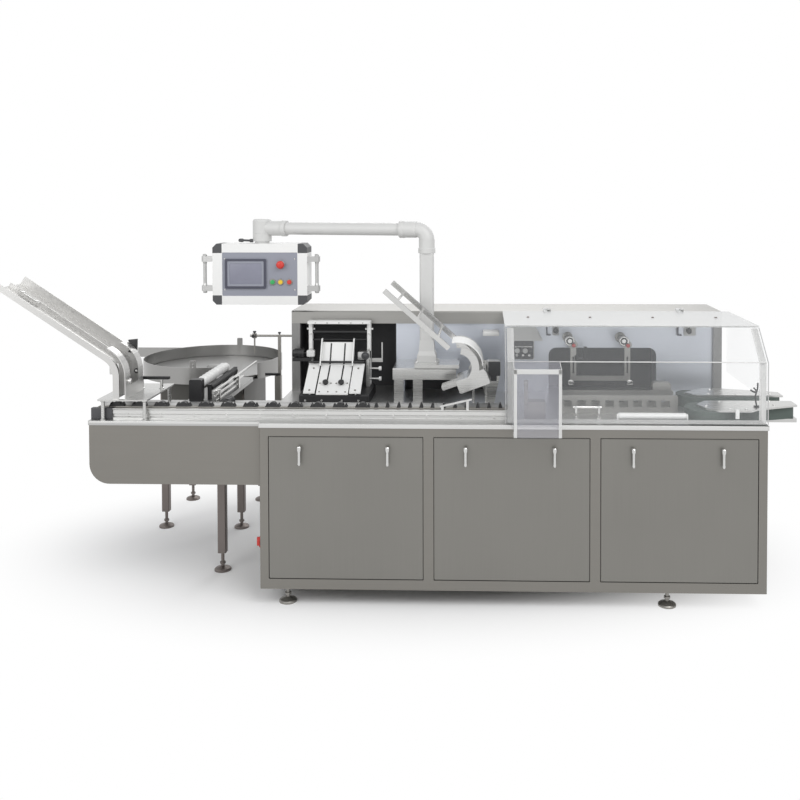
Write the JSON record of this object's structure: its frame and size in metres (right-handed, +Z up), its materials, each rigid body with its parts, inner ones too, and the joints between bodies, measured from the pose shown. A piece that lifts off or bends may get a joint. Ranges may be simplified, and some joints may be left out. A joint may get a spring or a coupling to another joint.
{
  "type": "automatic cartoner",
  "caption": "Horizontal cartoning machine with bottle turntable, lug infeed, product chute, leaflet folder, carton magazine, clear lifting hood and a control panel on a swinging arm.",
  "frame": {"origin": "bottom centre of the bounding box, on the floor", "axes": "+X to the discharge end, +Y to the rear, +Z up; the operator stands on the -Y side"},
  "size_m": [3.5934, 1.685, 1.707],
  "materials": {
    "brushed_steel": "brushed stainless sheet",
    "bright_steel": "bright stainless sheet",
    "pale_paint": "pale grey powder coat",
    "white_plastic": "white",
    "dark_plastic": "dark grey",
    "black_plastic": "black",
    "panel_grey": "blue-grey face",
    "red_plastic": "red",
    "clear_sheet": "clear sheet",
    "belt_green": "dark green belt"
  },
  "bodies": {
    "machine": {"cabinet": "brushed_steel", "front_doors": "brushed_steel", "rear_doors": "brushed_steel", "door_handles": "bright_steel", "machine_feet": "dark_plastic", "main_switch": "red_plastic", "deck": "bright_steel", "infeed_box": "brushed_steel", "infeed_leg": "brushed_steel", "conveyor_beam": "bright_steel", "conveyor_bed": "brushed_steel", "lug_chain": "dark_plastic", "chain_lugs": "black_plastic", "chute_tray": "bright_steel", "chute_guides": "bright_steel", "chute_base": "bright_steel", "turntable_legs": "brushed_steel", "turntable_pan": "brushed_steel", "lane_bridge": "bright_steel", "lane_rails": "bright_steel", "ribbed_guide": "black_plastic", "screw_drive": "black_plastic", "gate_rail": "bright_steel", "housing_roof": "bright_steel", "housing_walls": "bright_steel", "back_panel": "bright_steel", "bay_lining": "dark_plastic", "leaflet_frame": "white_plastic", "leaflet_plates": "white_plastic", "leaflet_drive": "dark_plastic", "leaflet_trim": "bright_steel", "magazine_rails": "bright_steel", "magazine_throat": "white_plastic", "magazine_head": "brushed_steel", "boom_shelf": "bright_steel", "boom_post": "pale_paint", "roof_hinges": "bright_steel", "pickup_box": "pale_paint", "gantry": "bright_steel", "carton_rails": "bright_steel", "guide_roller": "white_plastic", "end_drive": "brushed_steel", "discharge_belts": "belt_green", "discharge_covers": "bright_steel"},
    "boom": {"boom_arm": "pale_paint"},
    "panel": {"hmi_box": "white_plastic", "hmi_corners": "dark_plastic", "hmi_face": "panel_grey", "hmi_buttons": "red_plastic", "hmi_handles": "brushed_steel"},
    "hood": {"hood_top": "bright_steel", "hood_front": "clear_sheet", "hood_ends": "clear_sheet", "hood_rail": "bright_steel", "front_guard": "clear_sheet"},
    "disc": {"turntable_disc": "bright_steel"},
    "screw": {"timing_screw": "white_plastic"}
  },
  "joints": [
    {"name": "boom_swing", "type": "hinge", "parent": "machine", "child": "boom", "pos_m": [0.10867, -0.2525, 1.544], "axis": [0, 0, 1], "range_deg": [-15, 90]},
    {"name": "panel_swivel", "type": "hinge", "parent": "boom", "child": "panel", "pos_m": [-0.75365, -0.05342, 1.583], "axis": [0, 0, 1], "range_deg": [-90, 60]},
    {"name": "hood_lift", "type": "hinge", "parent": "machine", "child": "hood", "pos_m": [1.05517, -0.0745, 1.247], "axis": [-1, 0, 0], "range_deg": [0, 75]},
    {"name": "turntable_spin", "type": "hinge", "parent": "machine", "child": "disc", "pos_m": [-1.16433, 0.4575, 0.845], "axis": [0, 0, 1], "continuous": true},
    {"name": "screw_spin", "type": "hinge", "parent": "machine", "child": "screw", "pos_m": [-0.98633, -0.1635, 0.921], "axis": [0, 1, 0], "continuous": true}
  ]
}
